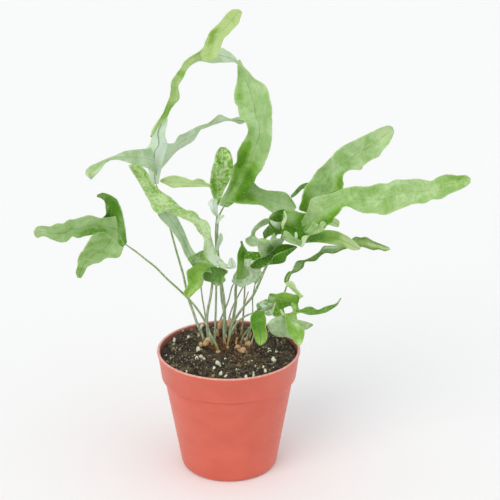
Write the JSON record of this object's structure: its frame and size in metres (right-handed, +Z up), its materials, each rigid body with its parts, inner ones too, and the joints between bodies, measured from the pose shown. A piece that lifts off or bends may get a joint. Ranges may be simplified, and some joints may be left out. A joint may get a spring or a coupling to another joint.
{
  "type": "potted golden polypody fern",
  "caption": "Young blue-green fern with wavy, lobed, twisting fronds on thin stalks, growing from scaly rhizomes in a round plastic nursery pot filled with potting mix",
  "frame": {"origin": "the middle of the pot's underside, on the surface that the pot stands on", "axes": "+Z up along the pot's axis, -Y towards the front of the plant, +X to its right"},
  "size_m": [0.3234, 0.173, 0.3913],
  "materials": {
    "pot_plastic": "moulded polypropylene, terracotta colour, satin",
    "potting_mix": "loose damp peat and bark with white perlite",
    "rhizome": "rough, covered in dry golden-brown scales",
    "frond_pale": "matt leathery leaf with a pale bloom",
    "frond_green": "matt leathery leaf",
    "frond_deep": "matt leathery leaf, deeper green in its folds",
    "dry_stalk": "dry and fibrous"
  },
  "bodies": {
    "root": {"pot": "pot_plastic", "soil": "potting_mix", "rhizome_left": "rhizome", "rhizome_middle": "rhizome", "rhizome_right": "rhizome", "rhizome_back": "rhizome", "frond_tall": "frond_pale", "frond_centre": "frond_green", "frond_left": "frond_green", "frond_mottled": "frond_pale", "frond_curly": "frond_pale", "frond_front": "frond_deep", "frond_wide": "frond_green", "frond_folded": "frond_deep", "frond_trailing": "frond_green", "young_leaf_1": "frond_pale", "young_leaf_2": "frond_pale", "young_leaf_3": "frond_pale", "young_leaf_4": "frond_pale", "young_leaf_5": "frond_pale", "dried_stalk": "dry_stalk"}
  },
  "joints": []
}
